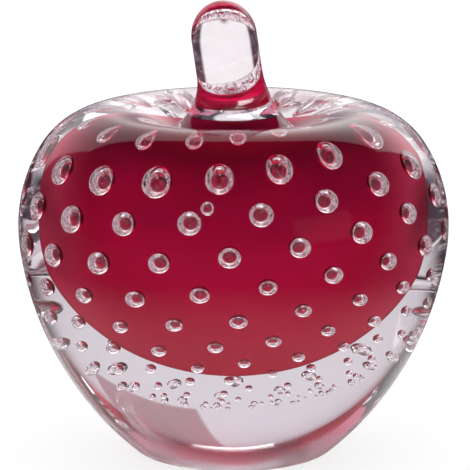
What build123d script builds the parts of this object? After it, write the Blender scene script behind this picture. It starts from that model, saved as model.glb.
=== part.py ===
from build123d import *
from math import cos, radians, sin, sqrt
import os

# Art glass apple: a solid ruby core, a clear gather over it that holds rows of air
# bubbles, a thick clear casing over both, and a clear stem drawn up in the dimple.
# Millimetres and degrees. The origin is the middle of the flat polished base,
# +Z is up, and -Y is the front.

# Clear casing: the apple's outer form
body_radius = 46.85
equator_height = 50.8
shoulder_height = 25.3
crest_radius = 27.3
dimple_depth = 9.1
base_radius = 20.3
base_slope = 40.0
flank_share = 8.8
heel_round = 6.0

# Thickness of clear glass over the ruby core
side_cover = 17.65
base_cover = 26.5
crown_cover = 7.6
dimple_cover = 8.0

# Ruby core: its own rounded shoulder
core_shoulder_height = 14.0
core_shoulder_width = 12.2

# Bubble shell: where the bubbles' middles lie in the first clear gather
shell_radius = 35.7
shell_equator = 56.0
shell_bottom = 20.3
shell_crest_radius = 21.5
shell_crest_height = 71.8
shell_floor = 62.8

# First clear gather: it took the mould's pits, and the casing closed them
gather_cover = 2.8
gather_crest_radius = 23.0
gather_crest_height = 73.7
gather_floor = 63.6

# Bubbles: staggered rows on that shell, which close up and shrink downwards.
# The top row is smaller again, where the glass was drawn in towards the stem.
bubble_rows = 12
bubbles_in_row = 16
bubble_sides = 8
top_row_angle = 60.0
first_row_step = 13.2
row_closing = 0.66
top_bubble_radius = 3.25
top_row_share = 0.62
bottom_bubble_radius = 0.7
bubble_fading = 1.35
bubble_height = 0.7
bubble_taper = 22.0
lattice_turn = -2.1
lattice_lean = 6.8

# Stem: a flared foot, a shaft that leans to the left and the front, and a domed tip
stem_length = 33.4
stem_radius = 7.1
tip_height = 7.9
flare_round = 16.0
flare_height = 17.5
flare_sweep = 72.0
flare_rings = 5
shaft_rings = 3
stem_lean = 11.3
lean_turn = 45.0

# Heights and radii that follow from the sizes above
crest_height = equator_height + shoulder_height
dimple_floor = crest_height - dimple_depth
core_radius = body_radius - side_cover
core_crest_radius = core_radius - core_shoulder_width
core_crest_height = crest_height - crown_cover
core_equator = core_crest_height - core_shoulder_height
core_dimple_floor = dimple_floor - dimple_cover
foot_rise = dimple_depth / 2
shaft_top = stem_length - tip_height
outward, inward, upward = (1, 0), (-1, 0), (0, 1)


def two_arcs(start, start_way, end, end_way, share=1.0):
    """Join two points by two tangent arcs. share is the first arc's part against the second's."""
    start, end = Vector(*start), Vector(*end)
    start_way, end_way = Vector(*start_way).normalized(), Vector(*end_way).normalized()
    chord = end - start
    ways = start_way * share + end_way
    square = (share + 1) ** 2 - ways.dot(ways)
    along = chord.dot(ways)
    # The reach is how far each arc's corner lies along its tangent
    reach = chord.dot(chord) / (sqrt(along**2 + square * chord.dot(chord)) + along)
    first_corner = start + start_way * (reach * share)
    last_corner = end - end_way * reach
    meeting = (first_corner + last_corner * share) / (1 + share)
    first = TangentArc(start, meeting, tangent=start_way)
    TangentArc(meeting, end, tangent=first % 1)


def apple_body():
    """The whole outer form in one piece, before the core and the bubbles are taken out."""
    base_edge = (base_radius, 0)
    base_way = (cos(radians(base_slope)), sin(radians(base_slope)))
    equator = (body_radius, equator_height)
    crest = (crest_radius, crest_height)
    floor = (0, dimple_floor)
    with BuildPart() as body:
        with BuildSketch(Plane.XZ):
            with BuildLine():
                Line((0, 0), base_edge)
                two_arcs(base_edge, base_way, equator, upward, flank_share)
                two_arcs(equator, upward, crest, inward)
                two_arcs(crest, inward, floor, inward)
                Line(floor, (0, 0))
            make_face()
        revolve(axis=Axis.Z)
        fillet(body.edges().group_by(Axis.Z)[0], heel_round)
    return body.part


def round_form(bottom, equator, crest, floor):
    """A turned form with a round belly, a soft shoulder and a dimple on top."""
    with BuildPart() as form:
        with BuildSketch(Plane.XZ):
            with BuildLine():
                two_arcs(bottom, outward, equator, upward)
                two_arcs(equator, upward, crest, inward)
                two_arcs(crest, inward, floor, inward)
                Line(floor, bottom)
            make_face()
        revolve(axis=Axis.Z)
    return form.part


def bubble_lattice(shell):
    """Every trapped bubble, seated square to the shell."""
    heart = Vector(0, 0, shell_equator)
    bubbles = []
    polar = top_row_angle
    for row in range(bubble_rows):
        fade = (1 - row / (bubble_rows - 1)) ** bubble_fading
        radius = bottom_bubble_radius + (top_bubble_radius - bottom_bubble_radius) * fade
        if row == 0:
            radius *= top_row_share
        half_height = bubble_height * radius
        bead = extrude(RegularPolygon(radius, bubble_sides), half_height, taper=bubble_taper, both=True)
        # Every other row is set half a place round
        stagger = 0.5 * (1 - row % 2)
        for column in range(bubbles_in_row):
            turn = radians(lattice_turn + (column + stagger) * 360 / bubbles_in_row)
            level, drop = sin(radians(polar)), cos(radians(polar))
            way = Vector(level * sin(turn), -level * cos(turn), drop).rotate(Axis.Y, -lattice_lean)
            point, normal = shell.find_intersection_points(Axis(heart, way))[-1]
            bubbles.append(Plane(point, z_dir=normal) * bead)
        polar += first_row_step - row_closing * row
    return bubbles


def stem_plane(height):
    """The plane square to the stem's axis, at a length along it from the dimple's floor."""
    bend_radius = (flare_height - foot_rise) / radians(stem_lean)
    angle = (min(max(height, foot_rise), flare_height) - foot_rise) / bend_radius
    straight = max(height - flare_height, 0)
    across = bend_radius * (1 - cos(angle)) + straight * sin(angle)
    rise = min(height, foot_rise) + bend_radius * sin(angle) + straight * cos(angle)
    toward = Vector(-1, 0, 0).rotate(Axis.Z, lean_turn)
    up = Vector(0, 0, 1)
    origin = toward * across + up * (dimple_floor + rise)
    return Plane(origin, x_dir=up.cross(toward), z_dir=toward * sin(angle) + up * cos(angle))


def stem_blank():
    """The drawn glass of the stem, running down past the dimple's skin."""
    rings = []
    for step in range(flare_rings):
        angle = radians(flare_sweep * (1 - step / flare_rings))
        rings.append((flare_height - flare_round * sin(angle), stem_radius + flare_round * (1 - cos(angle))))
    for step in range(shaft_rings):
        rings.append((flare_height + (shaft_top - flare_height) * step / (shaft_rings - 1), stem_radius))
    sections = [stem_plane(height) * Circle(radius) for height, radius in rings]
    shaft = loft(sections)
    root = extrude(sections[0], -rings[0][0] - dimple_depth)
    with BuildPart() as tip:
        with BuildSketch(Plane.XZ):
            with BuildLine():
                EllipticalCenterArc((0, 0), stem_radius, tip_height, start_angle=0, arc_size=90)
                Polyline((0, tip_height), (0, 0), (stem_radius, 0))
            make_face()
        revolve(axis=Axis.Z)
    return root + shaft + stem_plane(shaft_top) * tip.part


body = apple_body()
ruby_core = round_form(
    (0, base_cover),
    (core_radius, core_equator),
    (core_crest_radius, core_crest_height),
    (0, core_dimple_floor),
)
bubble_shell = round_form(
    (0, shell_bottom),
    (shell_radius, shell_equator),
    (shell_crest_radius, shell_crest_height),
    (0, shell_floor),
)
gather = round_form(
    (0, shell_bottom - gather_cover),
    (shell_radius + gather_cover, shell_equator),
    (gather_crest_radius, gather_crest_height),
    (0, gather_floor),
)
bubble_gather = gather - ruby_core - bubble_lattice(bubble_shell)
clear_casing = body - gather
stem = stem_blank() - body

os.makedirs("parts", exist_ok=True)
nodes = {
    "ruby_core": ruby_core,
    "bubble_gather": bubble_gather,
    "clear_casing": clear_casing,
    "stem": stem,
}
for name, shape in nodes.items():
    solids = shape.solids()
    print(name, len(solids), "solid", round(shape.volume / 1000, 2), "cm3", shape.bounding_box().size)
    export_step(shape, f"parts/{name}.step")
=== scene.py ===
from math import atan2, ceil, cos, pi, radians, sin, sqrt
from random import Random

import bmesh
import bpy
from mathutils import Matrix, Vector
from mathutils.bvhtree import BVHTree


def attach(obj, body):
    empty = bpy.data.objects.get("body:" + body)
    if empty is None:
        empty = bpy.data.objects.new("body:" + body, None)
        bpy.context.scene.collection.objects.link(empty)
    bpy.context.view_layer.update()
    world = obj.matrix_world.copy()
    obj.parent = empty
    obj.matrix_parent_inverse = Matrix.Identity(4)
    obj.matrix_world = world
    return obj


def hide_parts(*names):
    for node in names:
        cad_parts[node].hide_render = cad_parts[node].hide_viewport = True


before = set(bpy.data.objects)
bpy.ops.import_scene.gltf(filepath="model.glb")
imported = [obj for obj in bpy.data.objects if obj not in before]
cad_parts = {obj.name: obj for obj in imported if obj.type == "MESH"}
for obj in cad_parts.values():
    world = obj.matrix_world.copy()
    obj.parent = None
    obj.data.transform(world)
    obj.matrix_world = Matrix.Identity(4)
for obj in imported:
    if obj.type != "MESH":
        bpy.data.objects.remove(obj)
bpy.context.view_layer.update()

# %% [markdown]
# # A glass apple with rows of trapped bubbles
# The real object is a solid ornament, built up hot in layers. A ruby core is
# dipped in clear glass, a spiked mould pits that first gather all over, and a
# second gather closes each pit over its air. A drawn glass stem comes last.
# The lesson first sets the camera, then mixes the glasses, turns the bodies as
# a glassmaker turns them on the iron, presses the bubbles and draws the stem.
# The light of the studio comes at the end.

MM = 0.001
scene = bpy.context.scene
scene.view_settings.view_transform = "Standard"

# %% [markdown]
# ## Camera
# A long lens from about a metre away, a little above the apple, so that one
# looks down into the dimple. A wide lens close up would also frame the apple,
# but it would bulge its front and hide the far rim.

# %% Place the camera
image_width = 470
focal_pixels = 4500
camera_distance = 982 * MM
camera_lift = radians(12.05)
orbit_height = 43.7 * MM
aim = Vector((0.33 * MM, 0, 48.2 * MM))

camera = bpy.data.objects.new("camera", bpy.data.cameras.new("camera"))
scene.collection.objects.link(camera)
scene.camera = camera
camera.data.lens = camera.data.sensor_width * focal_pixels / image_width
camera.location = (0, -camera_distance * cos(camera_lift), orbit_height + camera_distance * sin(camera_lift))
camera.rotation_euler = (aim - camera.location).to_track_quat("-Z", "Y").to_euler()
print("lens", round(camera.data.lens), "mm")

# %% [markdown]
# ## Drawing with a compass
# Glass turned on the iron has hardly a straight run: its outline is a chain of
# arcs that run smoothly into one another. Such an outline could be a curve
# object, but spinning a single vertex about an arc's centre draws the same arc
# in a mesh, as a pair of compasses would, and the next spin can use it at once.

# %% Compass helpers
arc_step = 1.0 * MM
fewest_steps = 4
OUTWARD, INWARD, UPWARD = Vector((1, 0, 0)), Vector((-1, 0, 0)), Vector((0, 0, 1))
OUTLINE_AXIS = (0, -1, 0)


def point(radius, height):
    """A place on the half outline, from its radius and height in millimetres."""
    return Vector((radius * MM, 0, height * MM))


def only(kind, items):
    """Those of an operator's results that are of one kind, such as vertices."""
    return [item for item in items if isinstance(item, kind)]


def arc_to(bm, vert, way, end):
    """Spin a vertex along the arc that leaves it along way and reaches end.

    Gives the last vertex and the arc's way there.
    """
    chord = end - vert.co
    side = Vector((-way.z, 0, way.x))
    swing = 2 * atan2(chord.dot(side), chord.dot(way))
    radius = chord.length_squared / (2 * chord.dot(side))
    steps = max(fewest_steps, ceil(abs(swing * radius) / arc_step))
    centre = vert.co + side * radius
    spun = bmesh.ops.spin(bm, geom=[vert], cent=centre, axis=OUTLINE_AXIS, angle=swing, steps=steps)
    last = only(bmesh.types.BMVert, spun["geom_last"])[0]
    last.co = end
    return last, Matrix.Rotation(swing, 3, OUTLINE_AXIS) @ way


def two_arcs(bm, vert, way, end, end_way, share=1.0):
    """Run to end in two tangent arcs. share is the first arc's part against the second's."""
    chord = end - vert.co
    ways = way * share + end_way
    square = (share + 1) ** 2 - ways.dot(ways)
    along = chord.dot(ways)
    # The reach is how far each arc's corner lies along its tangent
    reach = chord.dot(chord) / (sqrt(along**2 + square * chord.dot(chord)) + along)
    meeting = (vert.co + way * reach * share + (end - end_way * reach) * share) / (1 + share)
    vert, way = arc_to(bm, vert, way, meeting)
    return arc_to(bm, vert, way, end)[0]


# %% From an outline to a body
turning_steps = 180
weld_distance = 0.01 * MM


def turn_on_axis(bm):
    """Turn the outline once round the upright axis and weld its seam and its poles."""
    bmesh.ops.spin(
        bm,
        geom=bm.verts[:] + bm.edges[:],
        cent=(0, 0, 0),
        axis=(0, 0, 1),
        angle=2 * pi,
        steps=turning_steps,
        use_merge=True,
    )
    bmesh.ops.remove_doubles(bm, verts=bm.verts[:], dist=weld_distance)
    bmesh.ops.recalc_face_normals(bm, faces=bm.faces[:])


def as_object(bm, name, materials):
    """Put a finished bmesh into the scene as a smooth object."""
    mesh = bpy.data.meshes.new(name)
    bm.to_mesh(mesh)
    bm.free()
    for material in materials:
        mesh.materials.append(material)
    mesh.shade_smooth()
    shaped = bpy.data.objects.new(name, mesh)
    scene.collection.objects.link(shaped)
    print(name, len(mesh.polygons), "faces")
    return shaped


# %% [markdown]
# ## The glasses
# All of the apple is glass. What differs is what lies on the two sides of each
# wall. Crystal against air bends the light and mirrors the room. Crystal fused
# to crystal is one body, so that wall must do nothing at all, which an index of
# 1 gives. Ruby is crystal with a trace of gold: it colours what goes through.
# A Glass node could draw each of them, but a Principled node also carries over when a model is exported, so
# one function makes all three from it.

# %% Colour and node helpers
# Settings that many nodes share: a soft rise from 0 to 1, a product, a blend of two colours
SOFT = {"interpolation_type": "SMOOTHSTEP"}
PRODUCT = {"operation": "MULTIPLY"}
COLOURS = {"data_type": "RGBA"}


def linear(hex_colour):
    """An sRGB hex colour as the linear RGBA that a socket takes."""
    parts = [int(hex_colour[place:place + 2], 16) / 255 for place in (1, 3, 5)]
    return [part / 12.92 if part <= 0.04045 else ((part + 0.055) / 1.055) ** 2.4 for part in parts] + [1.0]


def add_node(tree, kind, inputs=(), **settings):
    """Add one shader node of a kind, such as Math, with its settings.

    The inputs come in the order of the sockets, or by name. Each is a value, an output
    to link, or a node, which stands for its first open output.
    """
    node = tree.nodes.new("ShaderNode" + kind)
    for name, value in settings.items():
        setattr(node, name, value)
    for socket, value in inputs.items() if isinstance(inputs, dict) else enumerate(inputs):
        if isinstance(value, bpy.types.Node):
            value = next(output for output in value.outputs if output.enabled)
        if isinstance(value, bpy.types.NodeSocket):
            tree.links.new(value, node.inputs[socket])
        else:
            node.inputs[socket].default_value = value
    return node


def new_material(name):
    """An empty node material with its output node."""
    material = bpy.data.materials.new(name)
    material.use_nodes = True
    material.node_tree.nodes.clear()
    return material, material.node_tree, add_node(material.node_tree, "OutputMaterial")


def slow_noise(tree, width, height):
    """A soft pattern fixed to the object, whose patches are about so wide and so high."""
    places = add_node(tree, "TexCoord").outputs["Object"]
    scale = (1 / width, 1 / width, 1 / height)
    scaled = add_node(tree, "VectorMath", (places, scale), **PRODUCT)
    return add_node(tree, "TexNoise", {"Vector": scaled, "Scale": 1.0, "Detail": 1.0})


def height_up(tree):
    """How high a place lies on the object."""
    places = add_node(tree, "TexCoord").outputs["Object"]
    return add_node(tree, "SeparateXYZ", (places,)).outputs["Z"]


# %% Crystal
crystal_index = 1.5
crystal_tint = "#fff9fd"
fused_index = 1.0
wave_length = 16 * MM
wave_height = 0.05 * MM
bloom_low = 1.0 * MM
bloom_high = 16.0 * MM
bloom_roughness = 0.45


def glass_material(name, index, roughness=0.0, colour=crystal_tint):
    """Glass of one index and finish. Gives the material, its nodes and its skin."""
    material, tree, output = new_material(name)
    inputs = {
        "Base Color": linear(colour),
        "Roughness": roughness,
        "IOR": index,
        "Transmission Weight": 1.0,
    }
    skin = add_node(tree, "BsdfPrincipled", inputs)
    tree.links.new(skin.outputs["BSDF"], output.inputs["Surface"])
    return material, tree, skin


# Fire polish leaves a mirror that is not quite true, so reflections swim a little.
# The base was ground flat, and its grey bloom runs out up the heel.
crystal, tree, skin = glass_material("fire_polished_crystal", crystal_index)
waves = slow_noise(tree, wave_length, wave_length)
bump = add_node(tree, "Bump", {"Height": waves, "Distance": wave_height, "Strength": 1.0})
tree.links.new(bump.outputs["Normal"], skin.inputs["Normal"])
polish = add_node(tree, "MapRange", (height_up(tree), bloom_low, bloom_high), **SOFT)
ground = add_node(tree, "Math", (1.0, polish), operation="SUBTRACT")
bloom = add_node(tree, "Math", (ground, bloom_roughness), **PRODUCT)
tree.links.new(bloom.outputs["Value"], skin.inputs["Roughness"])
# Where glass is fused to glass there is nothing to see
fused_crystal, tree, skin = glass_material("fused_crystal", fused_index, colour="#ffffff")
print(crystal.name, "of index", crystal_index, "and", fused_crystal.name, "of index", fused_index)

# %% Ruby
ruby_index = 1.08
ruby_haze = 1.0
# Painted shade darkens the ruby from the first height to the second, and painted light lightens its crest
# above that
painted_ramp_start = 25 * MM
painted_shade_full = 65.5 * MM
ruby_crest = 68.5 * MM
streak_width = 30 * MM
streak_height = 9 * MM
streak_start = 0.4
streak_full = 0.65
streak_share = 0.4
even_blend = 0.5
# Painted light at the rim: where it starts and is full by grazing, and the height at which it is full
rim_start = 0.3
rim_end = 0.85
rim_full = 52 * MM

# Gold ruby is a little milky: it glows all through and blurs what lies behind it.
# Painted shade makes it darkest high up, under its crest, and painted light makes it lighter at the crest
# itself and at the rim, where one looks along its skin, more so higher up; low down it keeps its plain
# colour.
gold_ruby, tree, skin = glass_material("gold_ruby_glass", ruby_index, ruby_haze)
height = height_up(tree)
# Painted shade: a darker colour high up, under the crest
painted_shade_high = add_node(tree, "MapRange", (height, painted_ramp_start, painted_shade_full), **SOFT)
# Painted light: a lighter colour at the crest itself
crest = add_node(tree, "MapRange", (height, painted_shade_full, ruby_crest), **SOFT)
patches = slow_noise(tree, streak_width, streak_height)
streaks = add_node(tree, "MapRange", (patches, streak_start, streak_full), **SOFT)
streaks = add_node(tree, "Math", (streaks, streak_share), **PRODUCT)
# Painted light: a lighter colour at the rim, where one looks along the skin, growing with height
grazing = add_node(tree, "LayerWeight", {"Blend": even_blend}).outputs["Facing"]
edge = add_node(tree, "MapRange", (grazing, rim_start, rim_end), **SOFT)
raised = add_node(tree, "MapRange", (height, painted_ramp_start, rim_full), **SOFT)
painted_rim_light = add_node(tree, "Math", (edge, raised), **PRODUCT)
# Laid in turn: painted shade high up, painted light at the crest, random darker streaks, painted light at the
# rim
shade = linear("#dc1a4e")
for share, colour in ((painted_shade_high, "#6c0628"), (crest, "#c8143e"), (streaks, "#b40a3c"), (painted_rim_light, "#f4648a")):
    shade = add_node(tree, "Mix", {0: share, "A": shade, "B": linear(colour)}, **COLOURS)
tree.links.new(shade.outputs["Result"], skin.inputs["Base Color"])
print(gold_ruby.name, "of", len(tree.nodes), "nodes")

# %% [markdown]
# ## The ruby core
# The heart of the apple: round below, with a soft shoulder and a dimple of its
# own above. The clear wall round it fits it all over, so the core is drawn
# twice from one outline: as it is, for the hollow of the clear glass, and a
# hair smaller, for the core itself, so that the two skins never coincide.

# %% Turn the core
core_radius = 29.2
core_bottom = 26.5
core_equator = 54.5
core_crest_radius = 17.0
core_crest_height = 68.5
core_floor = 59.0
skin_gap = 0.03


def draw_round(bm, bottom, equator, crest, floor):
    """The half outline of a round form with a dimple.

    Two arcs each lead to its equator, its crest and the floor of its dimple.
    """
    vert = bm.verts.new(bottom)
    vert = two_arcs(bm, vert, OUTWARD, equator, UPWARD)
    vert = two_arcs(bm, vert, UPWARD, crest, INWARD)
    two_arcs(bm, vert, INWARD, floor, INWARD)


def draw_core(bm, gap):
    """The core's outline, drawn in by gap all round."""
    draw_round(
        bm,
        point(0, core_bottom + gap),
        point(core_radius - gap, core_equator),
        point(core_crest_radius, core_crest_height - gap),
        point(0, core_floor - gap),
    )


bm = bmesh.new()
draw_core(bm, skin_gap)
turn_on_axis(bm)
ruby_heart = as_object(bm, "ruby_heart", [gold_ruby])

# %% [markdown]
# ## The clear casing
# The apple's outer form, from the flat of the base up over the shoulder and
# down into the dimple. It is turned like the core, and the core's hollow is
# turned with it. A Boolean could cut that hollow, but a closed skin that is
# turned inside out bounds it just as well. The core is fused to the hollow all
# over, so the hollow gets the wall that does nothing. The stem seems to be fused
# to the dimple only in its middle. Round that, a thin film of air is left under
# its foot, and both walls of the film mirror, which shows as a silvery band.

# %% Turn the casing
body_radius = 46.85
equator_height = 50.8
crest_radius = 27.3
crest_height = 76.1
dimple_floor = 67.0
flat_radius = 18.12
heel_round = 6.0
heel_slope = radians(40)
flank_share = 8.8
fused_radius = 9.0

bm = bmesh.new()
vert = bm.verts.new(point(0, 0))
flat = bmesh.ops.extrude_vert_indiv(bm, verts=[vert])["verts"][0]
flat.co = point(flat_radius, 0)
heel_end = point(flat_radius + heel_round * sin(heel_slope), heel_round * (1 - cos(heel_slope)))
vert, flank_way = arc_to(bm, flat, OUTWARD, heel_end)
vert = two_arcs(bm, vert, flank_way, point(body_radius, equator_height), UPWARD, flank_share)
vert = two_arcs(bm, vert, UPWARD, point(crest_radius, crest_height), INWARD)
two_arcs(bm, vert, INWARD, point(0, dimple_floor), INWARD)
turn_on_axis(bm)
for face in bm.faces:
    middle = face.calc_center_median()
    under_stem = middle.z > equator_height * MM and middle.xy.length < fused_radius * MM
    face.material_index = 1 if under_stem else 0
print("outer skin", len(bm.faces), "faces")


# %% Leave room for the core
def add_hollow(bm, hollow, material_index):
    """Put a closed skin inside the glass, turned inside out, so that it bounds a hollow."""
    for face in hollow.faces:
        face.material_index = material_index
    bmesh.ops.reverse_faces(hollow, faces=hollow.faces[:])
    mesh = bpy.data.meshes.new("hollow")
    hollow.to_mesh(mesh)
    hollow.free()
    bm.from_mesh(mesh)
    bpy.data.meshes.remove(mesh)


hollow = bmesh.new()
draw_core(hollow, 0)
turn_on_axis(hollow)
add_hollow(bm, hollow, 1)
print("with the core's hollow", len(bm.faces), "faces")

# %% [markdown]
# ## The bubbles
# A spiked mould leaves staggered rows of pits in the first clear gather, and
# the second gather closes each pit over its air, which then draws itself
# round. So the bubbles lie on a shell of their own, between the core and the
# skin. The rows close up and shrink downwards, the whole lattice leans a
# little to the left, and near the crest the glass was pulled towards the
# stem, which draws the round bubbles out into drops. Instances on the shell's
# faces would be quicker to set, but here each bubble gets its own shape.

# %% The shell that holds the bubbles
shell_radius = 35.7
shell_equator = 56.0
shell_bottom = 20.3
shell_crest_radius = 21.5
shell_crest_height = 71.8
shell_floor = 62.8
lean_angle = radians(-6.8)

shell = bmesh.new()
draw_round(
    shell,
    point(0, shell_bottom),
    point(shell_radius, shell_equator),
    point(shell_crest_radius, shell_crest_height),
    point(0, shell_floor),
)
turn_on_axis(shell)
print("bubble shell", len(shell.faces), "faces")
shell_skin = BVHTree.FromBMesh(shell)
shell.free()
heart = point(0, shell_equator)
lattice_lean = Matrix.Rotation(lean_angle, 3, "Y")


def bubble_seat(polar, turn):
    """Where a bubble sits: square to the shell, with its Y towards the stem."""
    way = lattice_lean @ Vector((sin(polar) * sin(turn), -sin(polar) * cos(turn), cos(polar)))
    place, normal, _, _ = shell_skin.ray_cast(heart, way)
    along = (UPWARD - normal * normal.z).normalized()
    seat = Matrix((along.cross(normal), along, normal)).transposed().to_4x4()
    seat.translation = place
    return seat


# %% One bubble
large_bubble = 1.3
large_facets = 3
small_facets = 2
tail_start = 68.0
tail_full = 71.5
tail_length = 1.3
tail_pinch = 0.5


def press_bubble(bm, seat, radius, flatness):
    """One bubble: a ball, pressed flatter by flatness, whose stem side is drawn out near the crest."""
    facets = large_facets if radius > large_bubble * MM else small_facets
    ball = bmesh.ops.create_icosphere(bm, subdivisions=facets, radius=radius)["verts"]
    height = (seat.translation.z / MM - tail_start) / (tail_full - tail_start)
    tail = tail_length * min(max(height, 0), 1)
    for vert in ball:
        pull = max(vert.co.y / radius, 0) ** 2
        vert.co.y *= flatness * (1 + tail * pull)
        vert.co.x *= 1 - tail_pinch * tail * pull
        vert.co.z *= 1 - tail_pinch * tail * pull
    bmesh.ops.transform(bm, matrix=seat, verts=ball)


# %% All rows
bubble_rows = 12
bubbles_in_row = 16
top_row_angle = 60.0
first_row_step = 13.2
row_closing = 0.66
top_bubble_radius = 3.25
top_row_share = 0.62
bottom_bubble_radius = 0.35
bubble_fading = 1.2
lattice_turn = -2.1
row_flattening = 0.06
flattest = 0.7
# The pits are true to the mould above and wander more and more towards the base
top_wander = 0.2
added_wander = 2.3
wander_power = 3
smallest_share = 0.93
largest_share = 1.07
chance_seed = 16
# By row and column: one bubble is so many times larger than its row's others, and six
# near the stem stand so many degrees round from their places in the lattice
struck_deeper = {(1, 15): 1.14}
dragged = {(0, 0): -3.2, (0, 1): -4.9, (0, 2): -10.0, (1, 0): -0.7, (1, 1): -2.0, (1, 2): -3.1}

chance = Random(chance_seed)
column_step = 360 / bubbles_in_row
bubbles = bmesh.new()
polar = top_row_angle
for row in range(bubble_rows):
    fade = (1 - row / (bubble_rows - 1)) ** bubble_fading
    row_radius = bottom_bubble_radius + (top_bubble_radius - bottom_bubble_radius) * fade
    if row == 0:
        row_radius *= top_row_share
    flatness = max(1 - row_flattening * max(row - 1, 0), flattest)
    # Every other row is set half a place round
    stagger = 0.5 * (1 - row % 2)
    wander = top_wander + added_wander * (row / (bubble_rows - 1)) ** wander_power
    for column in range(bubbles_in_row):
        turn = lattice_turn + (column + stagger) * column_step + dragged.get((row, column), 0)
        tilt = chance.uniform(-wander, wander)
        twist = chance.uniform(-wander, wander) / sin(radians(polar))
        radius = row_radius * chance.uniform(smallest_share, largest_share)
        radius *= struck_deeper.get((row, column), 1)
        seat = bubble_seat(radians(polar + tilt), radians(turn + twist))
        press_bubble(bubbles, seat, radius * MM, flatness)
    polar += first_row_step - row_closing * row
print("rows", bubble_rows, "of", bubbles_in_row, "bubbles")

# %% One stray bubble
# A small round one between two rows, off the lattice
stray_angle = 81.8
stray_column = -0.235
stray_radius = 1.45

stray_turn = lattice_turn + stray_column * column_step
press_bubble(bubbles, bubble_seat(radians(stray_angle), radians(stray_turn)), stray_radius * MM, 1)
print("all bubbles", len(bubbles.faces), "faces")
add_hollow(bm, bubbles, 0)
casing_glass = as_object(bm, "casing_glass", [crystal, fused_crystal])

# %% [markdown]
# ## The stem
# Drawn out of a hot gather and sheared off: a flared foot in the dimple, a
# shaft that leans to the left and the front, and a tip that melted round. A
# curve with a bevel could draw it too. Here it is a ring, extruded over and
# over along the leaning axis and scaled at each step, because the underside of
# the foot can then go on from the same first ring and follow the dimple.

# %% The stem's axis and rings
stem_radius = 7.1
stem_length = 33.4
tip_height = 7.9
flare_height = 17.5
stem_lean = radians(11.3)
lean_turn = radians(45)
flare_steps = 24
shaft_steps = 8
tip_steps = 20
# The foot ends halfway up the dimple, where the dimple's two arcs meet
foot_radius = crest_radius / 2
foot_height = (crest_height + dimple_floor) / 2
foot_rise = foot_height - dimple_floor
shaft_top = stem_length - tip_height
bend_radius = (flare_height - foot_rise) / stem_lean


def stem_plane(height):
    """The plane square to the stem's axis, at a length along it from the dimple's floor."""
    bend = min(max(height - foot_rise, 0), flare_height - foot_rise)
    straight = max(height - flare_height, 0)
    angle = bend / bend_radius
    across = bend_radius * (1 - cos(angle)) + straight * sin(angle)
    rise = min(height, foot_rise) + bend_radius * sin(angle) + straight * cos(angle)
    upright = Matrix.Translation(point(-across, dimple_floor + rise)) @ Matrix.Rotation(-angle, 4, "Y")
    return Matrix.Rotation(lean_turn, 4, "Z") @ upright


def stem_rings():
    """Height and radius of each ring, from the foot to just under the tip."""
    run, rise = foot_radius - stem_radius, flare_height - foot_rise
    flare_round = (run**2 + rise**2) / (2 * run)
    sweep = atan2(rise, flare_round - run)
    for step in range(flare_steps):
        angle = sweep * (1 - step / flare_steps)
        yield flare_height - flare_round * sin(angle), stem_radius + flare_round * (1 - cos(angle))
    for step in range(shaft_steps):
        yield flare_height + (shaft_top - flare_height) * step / shaft_steps, stem_radius
    for step in range(tip_steps):
        angle = pi / 2 * step / tip_steps
        yield shaft_top + tip_height * sin(angle), stem_radius * cos(angle)


rings = list(stem_rings())
print("stem rings", len(rings))

# %% Draw the stem up from its foot
stem_sides = 96


def grow_ring(bm, edges):
    """Extrude a ring of edges in place. Gives the new vertices and the new ring's edges."""
    grown = bmesh.ops.extrude_edge_only(bm, edges=edges)["geom"]
    return only(bmesh.types.BMVert, grown), only(bmesh.types.BMEdge, grown)


bm = bmesh.new()
ring_frame = stem_plane(rings[0][0]) @ Matrix.Scale(rings[0][1] * MM, 4)
circle = bmesh.ops.create_circle(bm, segments=stem_sides, radius=1.0, matrix=ring_frame)["verts"]
ring_edges = list({edge for vert in circle for edge in vert.link_edges})
foot_edges = ring_edges
for height, radius in rings[1:]:
    next_frame = stem_plane(height) @ Matrix.Scale(radius * MM, 4)
    circle, ring_edges = grow_ring(bm, ring_edges)
    bmesh.ops.transform(bm, matrix=next_frame @ ring_frame.inverted(), verts=circle)
    ring_frame = next_frame
tip, _ = grow_ring(bm, ring_edges)
bmesh.ops.pointmerge(bm, verts=tip, merge_co=stem_plane(stem_length).translation)
outer_faces = set(bm.faces)
print("shaft and tip", len(outer_faces), "faces")

# %% Close the foot along the dimple
under_steps = 12
# Half a step is left open at the middle, where the last ring is drawn to a point
under_span = under_steps + 0.5

dimple_round = (foot_radius**2 + foot_rise**2) / (2 * foot_rise)
ring_edges, last_radius, last_drop = foot_edges, foot_radius, foot_rise
for step in range(1, under_steps + 1):
    radius = foot_radius * (1 - step / under_span)
    drop = dimple_round - sqrt(dimple_round**2 - radius**2)
    circle, ring_edges = grow_ring(bm, ring_edges)
    shrink = radius / last_radius
    bmesh.ops.scale(bm, vec=(shrink, shrink, 1), verts=circle)
    bmesh.ops.translate(bm, vec=(0, 0, (drop - last_drop) * MM), verts=circle)
    last_radius, last_drop = radius, drop
end, _ = grow_ring(bm, ring_edges)
bmesh.ops.pointmerge(bm, verts=end, merge_co=point(0, dimple_floor))
bmesh.ops.translate(bm, vec=(0, 0, skin_gap * MM), verts=bm.verts[:])
for face in bm.faces:
    fused = face not in outer_faces and face.calc_center_median().xy.length < fused_radius * MM
    face.material_index = 1 if fused else 0
bmesh.ops.recalc_face_normals(bm, faces=bm.faces[:])
for edge in foot_edges:
    edge.smooth = False
stem_glass = as_object(bm, "stem_glass", [crystal, fused_crystal])

# %% [markdown]
# ## Studio
# Glass has no look of its own: it shows the room. The apple stands on white
# paper in front of a white backdrop, in a dim room with a few small cards, some
# of them tinted rose. Such a room could be built from planes and lamps, but
# they would stand in the way when the camera goes round, so it is painted on
# the paper and on the world instead. Light Path tells which ray is asking. The
# camera gets plain white. The glass gets the room: one painting of it for what
# is seen through the glass, and another for what its outer skin mirrors.

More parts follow.
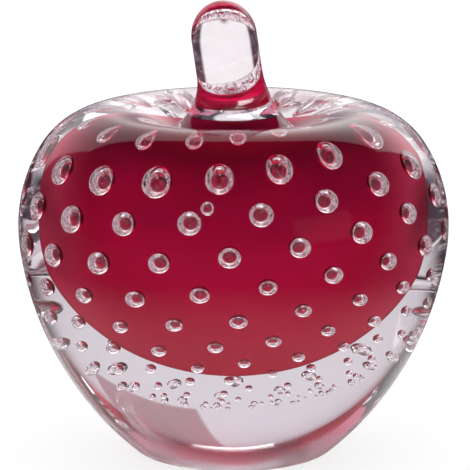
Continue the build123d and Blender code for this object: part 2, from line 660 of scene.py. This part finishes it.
# %% Light and shade on the paper
beside_start = 0.54
beside_full = 0.66
side_near = 100 * MM
side_full = 140 * MM
side_last = 1.2
side_end = 2.0
mirror_near = 45 * MM
mirror_far = 150 * MM
ahead_start = 40 * MM
ahead_full = -20 * MM
shade_start = 35 * MM
shade_near = 150 * MM
shade_far = 200 * MM
shade_width = 24 * MM
pool_near = 52 * MM
pool_far = 80 * MM
pool_back = 25 * MM
pool_front = -10 * MM
foot_near = 26 * MM
foot_far = 34 * MM

floor_paper, tree, output = new_material("white_paper_floor")
ray = add_node(tree, "LightPath").outputs
camera_ray, glossy_ray, through_ray = [ray[f"Is {kind} Ray"] for kind in ("Camera", "Glossy", "Transmission")]
mirrored = add_node(tree, "Math", (glossy_ray, through_ray), operation="GREATER_THAN")
place = add_node(tree, "TexCoord").outputs["Object"]
spread = add_node(tree, "SeparateXYZ", (place,)).outputs
away = add_node(tree, "VectorMath", (place,), operation="LENGTH")
aside = add_node(tree, "Math", (spread["X"],), operation="ABSOLUTE")
slant = add_node(tree, "Math", (aside, away), operation="DIVIDE")
# Each soft edge: what is measured, where it is 0 and where it is 1
soft_edges = {
    "beside": (slant, beside_start, beside_full),
    "clear of the apple": (away, side_near, side_full),
    "in the room": (away, side_end, side_last),
    "out of the mirror": (away, mirror_near, mirror_far),
    "out of the pool": (away, pool_near, mirror_far),
    "ahead": (spread["Y"], ahead_start, ahead_full),
    "near enough": (away, shade_far, shade_near),
    "behind": (spread["Y"], 0.0, shade_start),
    "in line": (aside, shade_width, 0.0),
    "front": (spread["Y"], pool_back, pool_front),
    "pool": (away, pool_far, pool_near),
    "under the foot": (away, foot_far, foot_near),
}
masks = {name: add_node(tree, "MapRange", limits, **SOFT) for name, limits in soft_edges.items()}
print("soft edges on the paper", len(masks))

# %% Lay the paper
floor_drop = 0.2 * MM
floor_half = 3.0
camera_glow = 0.78

# Uncoated paper scatters evenly and has no gloss. Each layer of colour lies where all its
# shares are 1: the rose shade behind the apple, the dim room beside the paper, what fades
# out in the mirror, what lies ahead of the apple, and the paper as the camera sees it.
layers = (
    ("#8e5068", (masks["near enough"], masks["behind"], masks["in line"])),
    ("#4a3a44", (masks["beside"], masks["clear of the apple"], masks["in the room"], through_ray)),
    ("#404044", (masks["out of the mirror"], mirrored)),
    ("#7d5560", (masks["out of the pool"], masks["ahead"], through_ray)),
    ("#969698", (camera_ray,)),
)
paper_colour = linear("#fafafa")
for colour, (share, *others) in layers:
    for other in others:
        share = add_node(tree, "Math", (share, other), **PRODUCT)
    paper_colour = add_node(tree, "Mix", {0: share, "A": paper_colour, "B": linear(colour)}, **COLOURS)
paper = add_node(tree, "BsdfDiffuse", {"Color": paper_colour})

# The paper glows a little for the camera, so that it looks white. For rays through the
# glass there is a pool of light before the apple and one under its foot.
lit_front = add_node(tree, "Math", (masks["front"], through_ray), **PRODUCT)
glow_level = add_node(tree, "Math", (camera_ray, camera_glow), **PRODUCT)
for name in ("pool", "under the foot"):
    lit = add_node(tree, "Math", (masks[name], lit_front), **PRODUCT)
    glow_level = add_node(tree, "Math", (glow_level, lit), operation="ADD")
glow = add_node(tree, "Emission", {"Color": linear("#ffffff"), "Strength": glow_level})
both = add_node(tree, "AddShader", (paper, glow))
tree.links.new(both.outputs["Shader"], output.inputs["Surface"])

bm = bmesh.new()
lowered = Matrix.Translation((0, 0, -floor_drop))
bmesh.ops.create_grid(bm, x_segments=1, y_segments=1, size=floor_half, matrix=lowered)
floor = as_object(bm, "floor", [floor_paper])

# %% Cards on the world
# The world is looked at by direction, so a card is placed by the way to its middle
card_start = 0.05
card_full = 0.1
card_edge = 0.05

world = bpy.data.worlds.new("white_studio")
scene.world = world
world.use_nodes = True
tree = world.node_tree
tree.nodes.clear()
output = add_node(tree, "OutputWorld")
ray = add_node(tree, "LightPath").outputs
glossy_ray, through_ray = [ray[f"Is {kind} Ray"] for kind in ("Glossy", "Transmission")]
mirrored = add_node(tree, "Math", (glossy_ray, through_ray), operation="GREATER_THAN")
looking = add_node(tree, "TexCoord").outputs["Generated"]
facing = add_node(tree, "SeparateXYZ", (looking,)).outputs


def card_mask(middle, half_width, half_height):
    """Where a card stands: 1 on it, 0 off it. Its half sizes are measured at unit distance."""
    toward = Vector(middle).normalized()
    level = Vector((-toward.y, toward.x, 0)).normalized()
    ahead = add_node(tree, "VectorMath", (looking, toward), operation="DOT_PRODUCT")
    mask = add_node(tree, "MapRange", (ahead, card_start, card_full), **SOFT)
    for way, half in ((level, half_width), (toward.cross(level), half_height)):
        across = add_node(tree, "VectorMath", (looking, way), operation="DOT_PRODUCT")
        offset = add_node(tree, "Math", (across, ahead), operation="DIVIDE")
        offset = add_node(tree, "Math", (offset,), operation="ABSOLUTE")
        limits = (offset, half * (1 + card_edge), half * (1 - card_edge))
        inside = add_node(tree, "MapRange", limits, **SOFT)
        mask = add_node(tree, "Math", (mask, inside), **PRODUCT)
    return mask


# %% The room as it is seen through the glass
backdrop_start = 0.30
backdrop_full = 0.65
climb_end = sin(radians(40))
ceiling_start = sin(radians(50))
ceiling_full = sin(radians(55))
skylight_start = sin(radians(66))
skylight_full = sin(radians(72))

# A white backdrop behind the apple, a dark ceiling and a light right overhead
climb = add_node(tree, "MapRange", (facing["Z"], 0.0, climb_end), **SOFT)
behind = add_node(tree, "MapRange", (facing["Y"], backdrop_start, backdrop_full), **SOFT)
ceiling = add_node(tree, "MapRange", (facing["Z"], ceiling_start, ceiling_full), **SOFT)
skylight = add_node(tree, "MapRange", (facing["Z"], skylight_start, skylight_full), **SOFT)
seen = add_node(tree, "Mix", {0: climb, "A": linear("#d8d6da"), "B": linear("#e0dbe2")}, **COLOURS)
seen = add_node(tree, "Mix", {0: behind, "A": linear("#302e32"), "B": seen}, **COLOURS)
seen = add_node(tree, "Mix", {0: ceiling, "A": seen, "B": linear("#58565c")}, **COLOURS)
seen = add_node(tree, "Mix", {0: skylight, "A": seen, "B": linear("#f0eef4")}, **COLOURS)
print("seen through the glass", len(tree.nodes), "nodes so far")

# %% The room as the outer skin mirrors it
bright_side_start = -0.12
bright_side_full = 0.05
bright_side = [1.6, 1.6, 1.62, 1.0]
upper_start = 0.3
upper_full = 0.75
low_start = sin(radians(3))
low_end = sin(radians(15))
mirrored_backdrop = ((0, 0.927, 0.375), 0.87, 0.53)

# The backdrop is brighter to the right and dimmer low down, and all else is dark
right = add_node(tree, "MapRange", (facing["X"], bright_side_start, bright_side_full), **SOFT)
upper = add_node(tree, "MapRange", (facing["Z"], upper_start, upper_full), **SOFT)
raised = add_node(tree, "MapRange", (facing["Z"], low_start, low_end), **SOFT)
backdrop = card_mask(*mirrored_backdrop)
mirror = add_node(tree, "Mix", {0: right, "A": linear("#e8e7ea"), "B": bright_side}, **COLOURS)
mirror = add_node(tree, "Mix", {0: upper, "A": mirror, "B": linear("#d0ced2")}, **COLOURS)
mirror = add_node(tree, "Mix", {0: raised, "A": linear("#b0aeb8"), "B": mirror}, **COLOURS)
mirror = add_node(tree, "Mix", {0: backdrop, "A": linear("#28282a"), "B": mirror}, **COLOURS)
room = add_node(tree, "Mix", {0: mirrored, "A": seen, "B": mirror}, **COLOURS)
print("with the mirrored room", len(tree.nodes), "nodes so far")

# %% Hang up the cards and light the room
# Middle, half width, half height, colour, strength and the share of it that the outer skin mirrors.
# White ones come first: right, left, high in front and high behind. Then the rose-tinted
# ones: behind on the right, and high in front on the left and on the right.
cards = (
    ((0.75, -0.62, 0.22), 0.30, 0.16, "#ffffff", 1.6, 0.1),
    ((-0.85, -0.40, 0.35), 0.12, 0.30, "#ffffff", 2.0, 0.0),
    ((0.10, -0.50, 0.86), 0.14, 0.14, "#ffffff", 7.0, 0.0),
    ((0.00, 0.62, 0.79), 0.20, 0.06, "#ffffff", 4.0, 0.0),
    ((0.34, 0.72, 0.60), 0.27, 0.22, "#b4959c", 1.0, 0.0),
    ((-0.56, -0.47, 0.68), 0.18, 0.27, "#ed7c9c", 0.8, 0.0),
    ((0.47, -0.40, 0.79), 0.18, 0.17, "#e8a0b8", 0.8, 0.0),
)
for middle, half_width, half_height, colour, strength, mirror_share in cards:
    share = add_node(tree, "MapRange", {"Value": mirrored, "To Min": 1.0, "To Max": mirror_share})
    share = add_node(tree, "Math", (card_mask(middle, half_width, half_height), share), **PRODUCT)
    card_light = [strength * part for part in linear(colour)]
    room = add_node(tree, "Mix", {0: share, "A": room, "B": card_light}, **COLOURS)
by_glass = add_node(tree, "Math", (through_ray, mirrored), operation="MAXIMUM")
surround = add_node(tree, "Mix", {0: by_glass, "A": linear("#ffffff"), "B": room}, **COLOURS)
background = add_node(tree, "Background", {"Color": surround, "Strength": 1.0})
tree.links.new(background.outputs["Background"], output.inputs["Surface"])
print("cards", len(cards))

# %% Let light pass many walls
glass_bounces = 32
mirror_bounces = 16

scene.cycles.max_bounces = glass_bounces
scene.cycles.transmission_bounces = glass_bounces
scene.cycles.glossy_bounces = mirror_bounces
scene.cycles.transparent_max_bounces = glass_bounces
print("bounces", glass_bounces)

# %% [markdown]
# ## The pieces and their solids
# Each piece rides on the one rigid body and stands for its solid, which is hidden.

# %% Tie the pieces to the solid model
for piece, nodes, slot in (
    (ruby_heart, ["ruby_core"], "ruby_glass"),
    (casing_glass, ["clear_casing", "bubble_gather"], "clear_glass"),
    (stem_glass, ["stem"], "clear_glass"),
):
    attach(piece, "root")
    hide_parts(*nodes)
